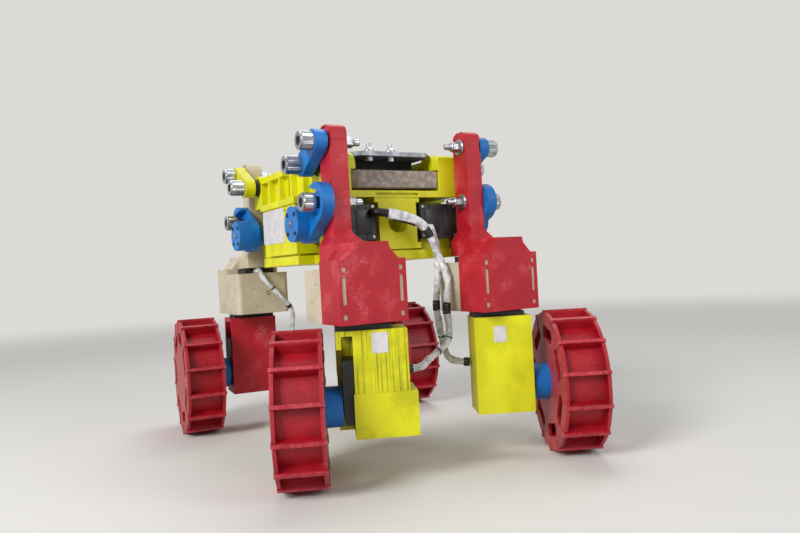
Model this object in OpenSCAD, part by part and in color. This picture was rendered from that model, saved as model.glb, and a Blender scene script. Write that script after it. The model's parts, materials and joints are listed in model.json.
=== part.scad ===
// Planetary rover prototype: a small four-wheeled research rover printed in plastic.
// Two-bar arms at each corner carry an upright, a steering housing and a driven wheel.
// Frame: +X is the rover's front, -Y its right side, +Z up. The wheels stand on z = 0.

/* [Chassis] */
// Width of the electronics box along X
box_w = 160; // [150:1:180]
// Depth of the electronics box along Y
box_d = 86; // [70:1:86]
// Height of the electronics box
box_h = 46.5; // [42:0.5:50]
// Length of the chassis along Y, from servo end to servo end
body_len = 187; // [180:1:200]
// Width of the base and deck at their two ends
end_w = 128; // [124:1:130]
// Thickness of the base plate
base_t = 8; // [5:0.5:10]
// Thickness of the deck plate
deck_t = 6; // [4:0.5:8]
// Height of the deck walls above the deck plate
deck_wall_h = 31.5; // [28:0.5:36]
// Clear width between the deck walls
deck_gap = 92; // [84:1:96]
// Thickness of the metal top plate
top_t = 4; // [2:0.5:6]
// Width of the metal top plate
top_w = 80; // [70:1:88]
// Length of the metal top plate
top_len = 184; // [150:1:184]

/* [Legs] */
// Distance of the arm pivots from the ends of the chassis, along Y
pivot_in = 12.5; // [11:0.5:14]
// Height from the lower arm pivot to the upper one
pivot_rise = 51; // [46:0.5:56]
// Length of each arm between its pins
arm_len = 32; // [30:0.5:40]
// Angle of the arms above level, in degrees
arm_lift = 30; // [20:1:38]
// Thickness of each arm
arm_t = 10.5; // [8:0.5:12]
// Radius of the upper arm's round ends
upper_arm_r = 10; // [9:0.5:11]
// Radius of the lower arm's round ends
lower_arm_r = 17; // [15:0.5:17]
// Inboard face of the upright
upright_x = 60.5; // [60:0.5:61]
// Thickness of the upright along X
upright_t = 16; // [13:0.5:18]
// Width of the upright along Y
upright_w = 21.6; // [18:0.2:22]

/* [Servos] */
// Short side of a servo
servo_w = 32; // [28:0.5:32]
// Long side of a servo
servo_l = 50; // [46:0.5:50]
// Height of a servo along its output shaft
servo_h = 40; // [36:0.5:40]
// Distance of the output shaft from the servo's end
servo_axis = 12.5; // [11:0.5:14]

/* [Steering housings] */
// Distance of the steering axis from the middle of the chassis, along X
steer_x = 67; // [66:0.5:68]
// Reach from the upright's pins out to the steering axis
steer_reach = 34; // [32:0.5:38]
// Width of the steering housing
housing_w = 59; // [52:1:62]
// Height of the steering housing below its shoulder
housing_h = 50; // [48:0.5:54]
// Reach of the front half in front of the steering axis
housing_front = 24; // [20:0.5:28]
// Reach of the rear half behind the steering axis
housing_rear = 48; // [46:0.5:48]

/* [Motor housings] */
// Length of the motor housing along the wheel's axle
motor_w = 50; // [48:1:54]
// Depth of the motor housing
motor_d = 40; // [39:0.5:44]
// Height of the motor housing
motor_h = 84; // [80:1:88]
// Drop from the lower upright pin to the wheel's axle
axle_drop = 166; // [164:1:174]

/* [Wheels] */
// Diameter of a wheel over its grousers
wheel_d = 126; // [110:1:128]
// Width of a wheel
wheel_w = 40; // [32:1:48]
// Diameter of the drum floor between the grousers
drum_d = 106; // [94:1:108]
// Thickness of the wheel's printed walls
wheel_wall = 3; // [2:0.2:4]
// How far the grousers stand out past the side walls' rims
grouser_lip = 2; // [1:0.5:3]
// Number of grousers
grousers = 14; // [10:1:18]
// Diameter of the hub coupling
hub_d = 32.6; // [26:0.2:36]
// Length of the hub coupling
hub_len = 14; // [10:0.5:18]

/* [Cables] */
// Diameter of the cables to the right motor housings
cable_d = 6.4; // [5:0.2:7]
// Diameter of the cables to the left motor housings
thin_cable_d = 5; // [4:0.2:5]

/* [Fasteners] */
// Diameter of the pivot bolts
pin_d = 6; // [4:0.5:7]
// Diameter of the pivot bolts' heads
head_d = 15; // [11:0.5:16]
// Width across a lock nut
nut_d = 10; // [8:0.5:12]
// Diameter of the servo output shafts
shaft_d = 6; // [4:0.5:8]

/* [Hidden] */
$fn = 48;
// radial clearance of a shaft that turns in its hole, and gaps between fixed and turning pieces
run_fit = 0.05;
pin_fit = 0.1;
seat_gap = 0.3;
turn_gap = 1.2;
// how far a flat between two round ends stands back from them
waist = 0.4;
// how far a wheel's side walls lie inside the ends of its grousers
wheel_edge = 0.6;

// Columns of LEGS: name, side along X, side along Y, yaw of the wheel clockwise from above in
// degrees, reach of the drive servo's face from the steering axis, colour set
NAME = 0;
SX = 1;
SY = 2;
YAW = 3;
OUT = 4;
KIT = 5;
LEGS = [
    ["front_right", 1, -1, 27, 28, 0],
    ["rear_right", -1, -1, 24, 18, 0],
    ["rear_left", -1, 1, 6, 28, 1],
    ["front_left", 1, 1, 6, 28, 1],
];
LEG_NODES = [
    "upper_arm_", "lower_arm_", "upright_", "steering_cover_", "lift_servo_", "steering_servo_",
    "motor_housing_", "steering_horn_", "drive_servo_", "hub_", "wheel_",
];

// colours of the two kits of printed pieces
YELLOW = "#d9e021";
RED = "#c8202c";
BLUE = "#1166b8";
CREAM = "#cfc6b4";
BLACK = "#1b1b1e";
STEEL = "#b4b6ba";
ALLOY = "#a9adb2";
FOAM = "#8f8780";
CABLE = "#e4e6e8";

// heights: the lift axis is the lower chassis pivot, the pins are those of the upright
rise = arm_len * sin(arm_lift);
lift_z = axle_drop + wheel_d / 2 - rise;
pivot_y = body_len / 2 - pivot_in;
pin_z = lift_z + rise;
pin_y = pivot_y + arm_len * cos(arm_lift);
steer_y = pin_y + steer_reach;
box_top = lift_z + box_h / 2 - 1;
box_bottom = box_top - box_h;
deck_top = box_top + deck_t;
wall_top = deck_top + deck_wall_h;
foam_low = deck_top + 2.5;
foam_top = deck_top + 19;
foam_len = 30;
plate_low = wall_top;

// two studs near each end of the top plate, one of them on its middle line
stud_pitch = 22;
stud_d = 4;
stud_y = top_len / 2 - 8;
stud_up = 8;
head_low = 4;
washer_t = 1.2;

// places along X, from the middle out
column_w = 39.2;
servo_x = column_w / 2 + 4;
servo_out = servo_x + servo_h;
cheek_t = 3;
arm_x = upright_x + upright_t + 1;
arm_out = arm_x + arm_t;
disc_out = arm_out + 11;
disc_d = 31;
horn_d = 22;
wall_x = deck_gap / 2;
boss_out = arm_x - 5.4;
boss_r = 12.5;
boss_in = wall_x - 5;

// steering housing, measured down from the upright's lower pin
top_drop = 36.3;
shoulder_drop = top_drop + 13.5;
housing_drop = shoulder_drop + housing_h;
split_y = steer_y - 12;
head_half = 14.5;
servo_top = pin_z - shoulder_drop - 1;
servo_bottom = servo_top - servo_h;
housing_bottom = pin_z - housing_drop;
motor_top = housing_bottom - turn_gap - 4;
motor_bottom = motor_top - motor_h;
axle_z = wheel_d / 2;

// the wheels' reach gives the middle of the whole rover, where its origin lies
function sweep_x(leg) = wheel_w / 2 * cos(leg[YAW]) + wheel_d / 2 * sin(leg[YAW]);
function sweep_y(leg) = wheel_w / 2 * sin(leg[YAW]) + wheel_d / 2 * cos(leg[YAW]);
function wheel_at(leg) = leg[OUT] + hub_len + wheel_w / 2;
function wheel_x(leg) = leg[SX] * (steer_x + wheel_at(leg) * cos(leg[YAW]));
function wheel_y(leg) = leg[SY] * steer_y - leg[SX] * wheel_at(leg) * sin(leg[YAW]);
mid_x = (max([for (leg = LEGS) wheel_x(leg) + sweep_x(leg)])
    + min([for (leg = LEGS) wheel_x(leg) - sweep_x(leg)])) / 2;
mid_y = (max([for (leg = LEGS) wheel_y(leg) + sweep_y(leg)])
    + min([for (leg = LEGS) wheel_y(leg) - sweep_y(leg)])) / 2;

// routes of the cables, from the chassis's middle: each leaves a servo's end face and hangs down to
// the inboard face of a motor housing
ROUTE_REAR_RIGHT = [
    [-28, -93.5, 221], [-28, -96, 221], [-26, -100, 221], [-19, -104, 220], [-6, -107, 217], [7, -109, 213],
    [17, -110, 206], [23, -111, 195], [27, -113, 182], [30, -118, 169], [31, -122, 156], [28, -124, 143],
    [26, -125, 131], [27, -126, 118], [26, -126, 107], [19, -127, 99], [8, -130, 94], [-4, -138, 91],
    [-14, -147, 89], [-23, -150.5, 88], [-31.5, -147.5, 88],
];
ROUTE_FRONT_RIGHT = [
    [31, -93.5, 207], [31, -96, 207], [31.3, -98.5, 205.5], [33, -101, 196], [34, -102, 184],
    [33, -104, 171], [30, -107, 158], [26, -110, 145], [24, -112, 132], [25, -113, 119], [27, -113, 107],
    [30, -112, 96], [35, -111, 87], [42, -114.5, 83], [51.4, -120.5, 82],
];
ROUTE_LEFT = [
    [72, 105.1, 176], [72, 101, 176], [71.5, 95.8, 176.5], [70.5, 92.1, 175.2], [68.5, 91.1, 169],
    [61, 90, 159], [52, 89, 149], [43, 89.5, 139.5], [36, 93.5, 130.5], [33.3, 99, 122.5],
    [32, 104, 114.5], [31.5, 108, 106], [32, 113, 96],
];
ROUTE_REAR_LEFT = [
    for (p = concat(ROUTE_LEFT, [[34.5, 120, 89], [38.5, 127.5, 86.3], [42.3, 128.1, 86], [45.3, 128.4, 86]]))
        [-p[0], p[1], p[2]],
];
ROUTE_FRONT_LEFT = concat(
    ROUTE_LEFT, [[33, 121, 89], [34.5, 129.5, 86.6], [36.8, 133.1, 86], [39.8, 133.5, 86], [42.8, 133.2, 86]]
);

// ---- placing ----

module placed() {
    translate([-mid_x, -mid_y, 0]) children();
}

// a feature drawn on the +X +Y corner of the chassis, mirrored to all four
module at_corners() {
    for (sx = [0, 1], sy = [0, 1]) mirror([sx, 0, 0]) mirror([0, sy, 0]) children();
}

// a piece drawn on the +X +Y corner, mirrored to its own leg
module at_leg(leg) {
    placed()
        mirror([leg[SX] < 0 ? 1 : 0, 0, 0])
        mirror([0, leg[SY] < 0 ? 1 : 0, 0])
        children();
}

// a piece drawn with its axle along +X from the steering axis, turned to its leg's yaw
module at_steer(leg) {
    placed()
        translate([leg[SX] * steer_x, leg[SY] * steer_y, 0])
        rotate([0, 0, -leg[YAW]])
        mirror([leg[SX] < 0 ? 1 : 0, 0, 0])
        children();
}

// ---- shapes ----

// a box given by its low corner and its high corner
module span(low, high) {
    translate(low) cube(high - low);
}

// a cylinder along X from x0 to x1, centred at (y, z)
module bar_x(x0, x1, d, y, z) {
    translate([x0, y, z]) rotate([0, 90, 0]) cylinder(h = x1 - x0, d = d);
}

// a link with round ends about its chassis pivot at height z0 and its upright pin, waisted between
module link(x0, x1, r, z0) {
    plate_x(x0, x1) translate([pivot_y, z0]) rotate(arm_lift) slot_outline(arm_len, r);
}

// a flat outline drawn in (y, z), given its thickness from x0 to x1
module plate_x(x0, x1) {
    translate([x0, 0, 0]) rotate([90, 0, 90]) linear_extrude(x1 - x0) children();
}

// outline with two round ends, its first end at the origin
module slot_outline(length, r) {
    circle(r = r);
    translate([length, 0]) circle(r = r);
    translate([0, waist - r]) square([length, 2 * (r - waist)]);
}

// ---- chassis ----

module electronics_box() {
    lid_t = 3.5;
    groove = 1;
    color(YELLOW) placed() difference() {
        span([-box_w / 2, -box_d / 2, box_bottom], [box_w / 2, box_d / 2, box_top]);
        // the lid's parting groove runs round the box
        difference() {
            span([-box_w, -box_d, box_top - lid_t - groove], [box_w, box_d, box_top - lid_t]);
            span(
                [groove - box_w / 2, groove - box_d / 2, box_bottom],
                [box_w / 2 - groove, box_d / 2 - groove, box_top]
            );
        }
    }
}

module base_plate() {
    low = box_bottom - base_t - 2;
    cheek_r = 16;
    horn_room = 12;
    spacer_in = 4;
    inner = servo_out + seat_gap;
    servo_low = lift_z - servo_w / 2;
    color(YELLOW) placed() {
        span([-box_w / 2, -box_d / 2 - 3, low], [box_w / 2, box_d / 2 + 3, low + base_t]);
        span([-end_w / 2, -body_len / 2, low], [end_w / 2, body_len / 2, low + base_t]);
        // spacers carry the electronics box clear of the plate
        span(
            [spacer_in - box_w / 2, spacer_in - box_d / 2, low + base_t],
            [box_w / 2 - spacer_in, box_d / 2 - spacer_in, box_bottom]
        );
        at_corners() {
            // a cheek stands beside each lift servo, open round the servo's horn
            span([servo_x, pivot_y - cheek_r, low], [servo_out + cheek_t, pivot_y + 8, low + base_t]);
            difference() {
                union() {
                    span([inner, pivot_y - cheek_r, low], [servo_out + cheek_t, pivot_y + 8, lift_z]);
                    bar_x(inner, servo_out + cheek_t, 2 * cheek_r, pivot_y, lift_z);
                }
                bar_x(servo_out - 1, servo_out + cheek_t + 1, 2 * horn_room, pivot_y, lift_z);
            }
            // a rest under each lift servo
            span(
                [servo_x + 4, body_len / 2 - 40, low + base_t],
                [servo_out - 4, body_len / 2 - 8, servo_low]
            );
        }
    }
}

module deck() {
    wall_out = boss_out - 6;
    wall_end = 5;
    flange_t = 6;
    rib_t = 4;
    seat_d = 19;
    seat_depth = 3;
    slot_half = 22;
    color(YELLOW) placed() difference() {
        union() {
            span([-box_w / 2 - 2, -box_d / 2 - 4, box_top], [box_w / 2 + 2, box_d / 2 + 4, deck_top]);
            span([-end_w / 2, -body_len / 2, box_top], [end_w / 2, body_len / 2, deck_top]);
            at_corners() {
                // wall with its top flange and two ribs
                span([wall_x, wall_end, deck_top], [wall_out, body_len / 2, wall_top]);
                span([wall_x, wall_end, wall_top - flange_t], [boss_out, body_len / 2, wall_top]);
                for (y = [14, 44]) span([wall_out, y, deck_top], [boss_out, y + rib_t, wall_top]);
                // boss of the upper arm's pivot, flat below its inner end, over the foam
                bar_x(wall_x, boss_out, 2 * boss_r, pivot_y, lift_z + pivot_rise);
                intersection() {
                    bar_x(boss_in, wall_x, 2 * boss_r, pivot_y, lift_z + pivot_rise);
                    span([0, 0, foam_top + seat_gap], [end_w, body_len, wall_top + boss_r]);
                }
                span([wall_x, pivot_y - boss_r, deck_top], [boss_out, pivot_y + boss_r, lift_z + pivot_rise]);
            }
        }
        at_corners() {
            bar_x(boss_in - 1, boss_out + 1, pin_d + 2 * pin_fit, pivot_y, lift_z + pivot_rise);
            bar_x(boss_out - seat_depth, boss_out + 1, seat_d, pivot_y, lift_z + pivot_rise);
        }
        // slot along the front and rear lips, above each column
        for (end = [-1, 1] * body_len / 2)
            span([-slot_half, end - 3, box_top + 1.5], [slot_half, end + 3, box_top + 4]);
    }
}

module column(side) {
    y0 = box_d / 2 + 3.5;
    y1 = body_len / 2 - 1;
    flange = 3.6;
    flange_t = 4.5;
    foot_in = 4;
    window_d = 20;
    window_depth = 28;
    color(YELLOW) placed() mirror([0, side < 0 ? 1 : 0, 0]) difference() {
        union() {
            span(
                [foot_in - column_w / 2, y0 + foot_in, box_bottom - 2],
                [column_w / 2 - foot_in, y1 - foot_in, box_bottom]
            );
            span(
                [-column_w / 2 - flange, y0, box_bottom - 0.6],
                [column_w / 2 + flange, y1, box_bottom + flange_t + 0.5]
            );
            span([-column_w / 2, y0, box_bottom - 0.6], [column_w / 2, y1, box_top - flange_t]);
            span([-column_w / 2 - flange, y0, box_top - flange_t], [column_w / 2 + flange, y1, box_top]);
        }
        // round window in the web
        translate([0, y1 + 2, lift_z]) rotate([90, 0, 0]) cylinder(h = window_depth + 2, d = window_d);
    }
}

module top_plate() {
    cut = 7;
    x = top_w / 2;
    y = top_len / 2;
    color(ALLOY) placed() difference() {
        translate([0, 0, plate_low]) linear_extrude(top_t)
            polygon([
                [-x + cut, -y], [x - cut, -y], [x, -y + cut], [x, y - cut],
                [x - cut, y], [-x + cut, y], [-x, y - cut], [-x, -y + cut],
            ]);
        at_studs() translate([0, 0, -top_t - 1]) cylinder(h = top_t + 2, d = stud_d + 2 * pin_fit);
    }
}

// the four studs' places, on the plate's upper face
module at_studs() {
    for (sy = [-1, 1], x = [0, stud_pitch])
        translate([sy * x, sy * stud_y, plate_low + top_t]) children();
}

module plate_bolts() {
    washer_d = 11;
    stud_nut_d = 7;
    stud_nut_t = 3;
    below = top_t + head_low;
    color(STEEL) placed() at_studs() {
        translate([0, 0, -below]) cylinder(h = stud_up + below, d = stud_d);
        cylinder(h = washer_t, d = washer_d);
        translate([0, 0, washer_t]) cylinder(h = stud_nut_t, d = stud_nut_d, $fn = 6);
        translate([0, 0, -below]) cylinder(h = head_low, d = 2 * stud_d);
    }
}

// the battery pack fills the bay between the deck walls and carries the top plate
module battery_pack() {
    x = wall_x - 8;
    y = top_len / 2 - foam_len - 4;
    color(BLACK) placed() span([-x, -y, deck_top], [x, y, plate_low]);
}

module foam_pad() {
    y = top_len / 2;
    color(FOAM) placed() for (sy = [-1, 1]) mirror([0, sy < 0 ? 1 : 0, 0])
        span([-wall_x + seat_gap, y - foam_len, foam_low], [wall_x - seat_gap, y, foam_top]);
}

// ---- legs ----

module lift_servo(leg) {
    color(BLACK) at_leg(leg) translate([servo_out, pivot_y, lift_z]) servo(8);
}

module upper_arm(leg) {
    z0 = lift_z + pivot_rise;
    color(leg[KIT] == 0 ? BLUE : YELLOW) at_leg(leg) difference() {
        link(arm_x, arm_out, upper_arm_r, z0);
        bar_x(arm_x - 1, arm_out + 1, pin_d + 2 * pin_fit, pivot_y, z0);
        bar_x(arm_x - 1, arm_out + 1, pin_d + 2 * pin_fit, pin_y, z0 + rise);
    }
}

module lower_arm(leg) {
    color(BLUE) at_leg(leg) difference() {
        union() {
            difference() {
                link(arm_x, arm_out, lower_arm_r, lift_z);
                bar_x(arm_x - 1, arm_out + 1, pin_d + 2 * pin_fit, pin_y, pin_z);
                // deep counterbore round the bolt's sleeve, open towards the chassis
                plate_x(arm_x + 3, arm_out + 1) translate([pin_y, pin_z]) rotate(168) slot_outline(25, 11);
            }
            // round drive disc outboard, horn boss inboard
            bar_x(arm_x + 2, disc_out, disc_d, pivot_y, lift_z);
            bar_x(servo_out + seat_gap, arm_x + 1, horn_d, pivot_y, lift_z);
        }
        bar_x(servo_out - 1, servo_out + 9, shaft_d + 2 * pin_fit, pivot_y, lift_z);
    }
}

// bolts of one leg: upper and lower upright pins and the upper chassis pin
module leg_bolts() {
    nut_t = 6;
    flange_t = 2.5;
    tip = 7;
    sleeve_d = 10;
    inner = upright_x - nut_t - flange_t;
    for (z = [pin_z, pin_z + pivot_rise]) {
        bar_x(inner - tip, arm_out + 4, pin_d, pin_y, z);
        translate([inner, pin_y, z]) rotate([0, 90, 0]) cylinder(h = nut_t, d = nut_d, $fn = 6);
        bar_x(inner + nut_t, upright_x, nut_d + 2, pin_y, z);
    }
    bar_x(arm_x + 3, arm_out + 4, sleeve_d, pin_y, pin_z);
    bar_x(boss_in + 4, arm_out + 4, pin_d, pivot_y, lift_z + pivot_rise);
    bar_x(boss_out - 3, arm_x, sleeve_d + 2, pivot_y, lift_z + pivot_rise);
    // heads on the upper and lower upright pins, and a longer one on the chassis pin
    bolt_head(arm_out, 12, pin_y, pin_z + pivot_rise);
    bolt_head(arm_out + 1, 11.4, pin_y, pin_z);
    bolt_head(arm_out, 15, pivot_y, lift_z + pivot_rise);
}

// a cap screw's head with its hexagon socket, its inner face at x0
module bolt_head(x0, length, y, z) {
    socket = 5;
    difference() {
        bar_x(x0, x0 + length, head_d, y, z);
        translate([x0 + length - socket, y, z]) rotate([0, 90, 0])
            cylinder(h = socket + 1, d = head_d * 0.62, $fn = 6);
    }
}

module pivot_bolts() {
    color(STEEL) for (leg = LEGS) at_leg(leg) leg_bolts();
}

// outline of the steering housing's front half, seen along Y, about its own middle
module housing_outline() {
    w = housing_w / 2;
    t = head_half;
    neck = shoulder_drop - top_drop;
    polygon([
        [-w, -housing_h], [w, -housing_h], [w, 0], [t + 8.5, 0], [t + 1, 8.5], [t, neck],
        [-t, neck], [-t - 1, 8.5], [-t - 8.5, 0], [-w, 0],
    ]);
}

// places of the cover's tongues in the front half, from the housing's middle and its shoulder:
// x, z, half width, half height
TONGUES = [for (x = [-1, 1] * (housing_w / 2 - 4.5)) each [
    [x, -7.5, 1.8, 2], [x, -housing_h / 2 + 1, 1.6, 10.5], [x, -housing_h + 6, 1.8, 2],
]];

// the tongues, or with a gap the holes they fill, from y0 to y1
module tongues(y0, y1, gap) {
    for (t = TONGUES) translate([steer_x + t[0], 0, pin_z - shoulder_drop + t[1]])
        span([-t[2] - gap, y0, -t[3] - gap], [t[2] + gap, y1, t[3] + gap]);
}

module upright(leg) {
    y0 = pin_y - upright_w / 2;
    y1 = pin_y + upright_w / 2;
    top_pin_z = pin_z + pivot_rise;
    top = top_pin_z + 13.7;
    foot = pin_z - top_drop;
    base = pin_z - shoulder_drop;
    corner = 6.5;
    color(leg[KIT] == 0 ? RED : CREAM) at_leg(leg) difference() {
        union() {
            // bar with its two top corners cut
            plate_x(upright_x, upright_x + upright_t) polygon([
                [y0, base], [y1, base], [y1, top - corner], [y1 - 2, top - 2.5],
                [y1 - corner, top], [y0 + corner, top], [y0 + 2, top - 2.5], [y0, top - corner],
            ]);
            // foot slab, wider than the bar, and sloped gussets where the bar meets it
            span([steer_x - head_half, y0, base], [steer_x + head_half, split_y + 6, foot]);
            intersection() {
                plate_x(steer_x - head_half, steer_x + head_half) polygon([
                    [y0, foot - 1], [y1 + 9, foot - 1], [y1 + 9, foot], [y1, foot + 13],
                    [y0, foot + 13],
                ]);
                translate([0, y1 + 10, 0]) rotate([90, 0, 0]) linear_extrude(upright_w + 10) polygon([
                    [steer_x - head_half, foot - 1], [steer_x + head_half, foot - 1],
                    [steer_x + head_half, foot], [upright_x + upright_t - 1, foot + 9],
                    [upright_x + upright_t - 1, foot + 14], [upright_x, foot + 14],
                    [upright_x, foot + 9], [steer_x - head_half, foot],
                ]);
            }
            translate([steer_x, steer_y + housing_front, base]) rotate([90, 0, 0])
                linear_extrude(steer_y + housing_front - split_y) housing_outline();
        }
        for (z = [pin_z, top_pin_z])
            bar_x(upright_x - 1, upright_x + upright_t + 1, pin_d + 2 * pin_fit, pin_y, z);
        // pocket for the steering servo, open below
        steer_pocket();
        tongues(split_y - 1, steer_y + housing_front + 1, pin_fit);
        // seat round the upper arm's end, and the seam of the bar's cap
        bar_x(upright_x + upright_t - 1.2, upright_x + upright_t + 1, 2 * upper_arm_r + 5, pin_y, top_pin_z);
        for (y = [y0, y1]) span([upright_x - 1, y - 0.4, top_pin_z], [arm_x, y + 0.4, top_pin_z + 0.8]);
    }
}

// the space of the steering servo and of the horn that turns below it
module steer_pocket() {
    x = servo_w / 2 + seat_gap;
    y1 = steer_y + servo_axis + seat_gap;
    y0 = y1 - servo_l - 2 * seat_gap;
    span([steer_x - x, y0, housing_bottom - 1], [steer_x + x, y1, servo_top + seat_gap]);
    translate([steer_x, steer_y, housing_bottom - 1]) cylinder(h = servo_bottom - housing_bottom, r = x);
}

module steering_cover(leg) {
    w = housing_w / 2;
    r = 6;
    roof = servo_top - 5;
    y0 = steer_y - housing_rear;
    color(CREAM) at_leg(leg) difference() {
        union() {
            span([steer_x - w, y0 + r, housing_bottom], [steer_x + w, split_y, roof]);
            span([steer_x - w + r, y0, housing_bottom], [steer_x + w - r, y0 + 2 * r, roof]);
            for (x = [-1, 1] * (w - r))
                translate([steer_x + x, y0 + r, housing_bottom]) cylinder(h = roof - housing_bottom, r = r);
        }
        steer_pocket();
    }
    // tongues that key into the front half
    color(CREAM) at_leg(leg) tongues(split_y - 2, steer_y + housing_front - 1, 0);
}

// a servo whose shaft leaves its face along +X at the origin, its case reaching far along -Y
module servo(shaft_len) {
    w = servo_w / 2;
    y0 = servo_axis - servo_l;
    bar_x(0, shaft_len, shaft_d, 0, 0);
    difference() {
        span([-servo_h, y0, -w], [0, servo_axis, w]);
        // the joints between the case's cap, body and base
        for (x = [-11, -servo_h + 9]) difference() {
            span([x, y0 - 1, -w - 1], [x + 0.8, servo_axis + 1, w + 1]);
            span([x - 1, y0 + 0.6, 0.6 - w], [x + 2, servo_axis - 0.6, w - 0.6]);
        }
    }
}

module steering_servo(leg) {
    color(BLACK) at_leg(leg) translate([steer_x, steer_y, servo_bottom]) rotate([0, 90, 0]) servo(5);
}

// ---- steered bodies ----

module steering_horn(leg) {
    color(BLACK) at_steer(leg) difference() {
        union() {
            translate([0, 0, motor_top + 4])
                cylinder(h = servo_bottom - seat_gap - motor_top - 4, d = horn_d);
            span([-22, -15, motor_top], [22, 15, motor_top + 4]);
        }
        translate([0, 0, servo_bottom - 6]) cylinder(h = 8, d = shaft_d + 2 * run_fit);
    }
}

// space of the drive servo, open on the wheel's side
module drive_pocket(out) {
    y = servo_w / 2 + seat_gap;
    span([out - servo_h - seat_gap, -y, axle_z - servo_axis - seat_gap], [out + 20, y, motor_top - 4]);
}

module motor_housing(leg) {
    if (leg[NAME] == "rear_right") stepped_housing(leg);
    else plain_housing(leg);
}

module plain_housing(leg) {
    out = leg[OUT];
    color(leg[KIT] == 0 ? YELLOW : RED) at_steer(leg) difference() {
        span([out - 1 - motor_w, -motor_d / 2, motor_bottom], [out - 1, motor_d / 2, motor_top]);
        drive_pocket(out);
    }
}

// this housing has a wider lower block and a narrow upper one, with a bare top bracket
module stepped_housing(leg) {
    out = leg[OUT];
    y = motor_d / 2;
    step_z = motor_bottom + 35;
    color(YELLOW) at_steer(leg) difference() {
        union() {
            span([out - 8 - motor_w, -y - 1, motor_bottom], [out - 8, y, step_z]);
            span([out - 52, -y, step_z], [out - 9, y, motor_top]);
            // roof and rear wall run on past the servo, with a short lip
            span([out - 9, -y, motor_top - 4], [out + 4, y, motor_top]);
            span([out, -y, motor_top - 14], [out + 4, -y + 4, motor_top - 4]);
            span([out - 9, y - 3.5, motor_bottom], [out + 4, y, motor_top]);
        }
        drive_pocket(out);
    }
}

module drive_servo(leg) {
    color(BLACK) at_steer(leg) translate([leg[OUT], 0, axle_z]) rotate([-90, 0, 0]) servo(6);
}

module hub(leg) {
    out = leg[OUT];
    color(BLUE) at_steer(leg) difference() {
        bar_x(out + 0.8, out + hub_len + wheel_edge, hub_d, 0, axle_z);
        bar_x(out, out + 7, shaft_d + 2 * run_fit, 0, axle_z);
    }
}

module wheel(leg) {
    x0 = leg[OUT] + hub_len;
    windows = grousers / 2;
    window_len = 17;
    window_z = drum_d / 2 - 9.5;
    color(RED) at_steer(leg) translate([x0, 0, axle_z]) difference() {
        union() {
            rotate([0, 90, 0]) rotate_extrude() wheel_section();
            for (i = [0:grousers - 1]) rotate([360 * i / grousers, 0, 0]) grouser();
        }
        // oval windows through both side walls
        for (i = [0:windows - 1]) rotate([360 * (i + 0.25) / windows, 0, 0])
            plate_x(-1, wheel_w + 1) translate([-window_len / 2, window_z]) slot_outline(window_len, 6);
    }
}

// half section of a wheel: two side walls joined by the drum, drawn out from the axle
module wheel_section() {
    rim = wheel_d / 2 - grouser_lip;
    floor_out = drum_d / 2;
    floor_in = floor_out - wheel_wall;
    low = wheel_edge;
    high = wheel_w - wheel_edge;
    polygon([
        [0, low], [rim, low], [rim, low + wheel_wall], [floor_out, low + wheel_wall],
        [floor_out, high - wheel_wall], [rim, high - wheel_wall], [rim, high], [0, high],
        [0, high - wheel_wall], [floor_in, high - wheel_wall], [floor_in, low + wheel_wall],
        [0, low + wheel_wall],
    ]);
}

// a cleat across the whole wheel, let into the drum
module grouser() {
    half = wheel_wall / 2;
    span([0, -half, drum_d / 2 - half], [wheel_w, half, wheel_d / 2]);
}

// ---- cables ----

// a bundle of wires: eight-sided rings along its route's points
module cable(route, d) {
    n = len(route);
    sides = 8;
    color(CABLE) placed() polyhedron(
        points = [for (i = [0:n - 1]) each ring(route, d / 2, i, sides)],
        faces = concat(
            [[for (k = [0:sides - 1]) k]],
            [for (i = [0:n - 2], k = [0:sides - 1])
                each quad(i * sides + k, i * sides + (k + 1) % sides, sides)],
            [[for (k = [sides - 1:-1:0]) (n - 1) * sides + k]]
        )
    );
}

function unit(v) = v / norm(v);
function heading(route, i) = unit(route[min(i + 1, len(route) - 1)] - route[max(i - 1, 0)]);
// one side of the cable, carried along the route without twist
function beside(route, i) = i == 0
    ? unit(cross(heading(route, 0), [0, 0, 1]))
    : let (s = beside(route, i - 1), h = heading(route, i)) unit(s - (s * h) * h);
function ring(route, r, i, sides) =
    let (s = beside(route, i), u = cross(heading(route, i), s))
    [for (k = [0:sides - 1]) route[i] + r * (cos(360 * k / sides) * s + sin(360 * k / sides) * u)];
function quad(a, b, sides) = [[a, a + sides, b], [b, a + sides, b + sides]];

// ---- the pieces ----

electronics_box();
base_plate();
deck();
top_plate();
plate_bolts();
foam_pad();
battery_pack();
column(-1);  // right_column
column(1);  // left_column
pivot_bolts();
cable(ROUTE_FRONT_RIGHT, cable_d);  // cable_front_right
cable(ROUTE_REAR_RIGHT, cable_d);  // cable_rear_right
cable(ROUTE_REAR_LEFT, thin_cable_d);  // cable_rear_left
cable(ROUTE_FRONT_LEFT, thin_cable_d);  // cable_front_left
for (leg = LEGS) {
    upper_arm(leg);
    lower_arm(leg);
    upright(leg);
    steering_cover(leg);
    lift_servo(leg);
    steering_servo(leg);
    motor_housing(leg);
    steering_horn(leg);
    drive_servo(leg);
    hub(leg);
    wheel(leg);
}
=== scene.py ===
"""Looks of the planetary rover prototype: cables, foam, screws, labels and finishes round its CAD frame."""
import json
import math

import bpy
from mathutils import Euler, Matrix, Vector


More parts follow.
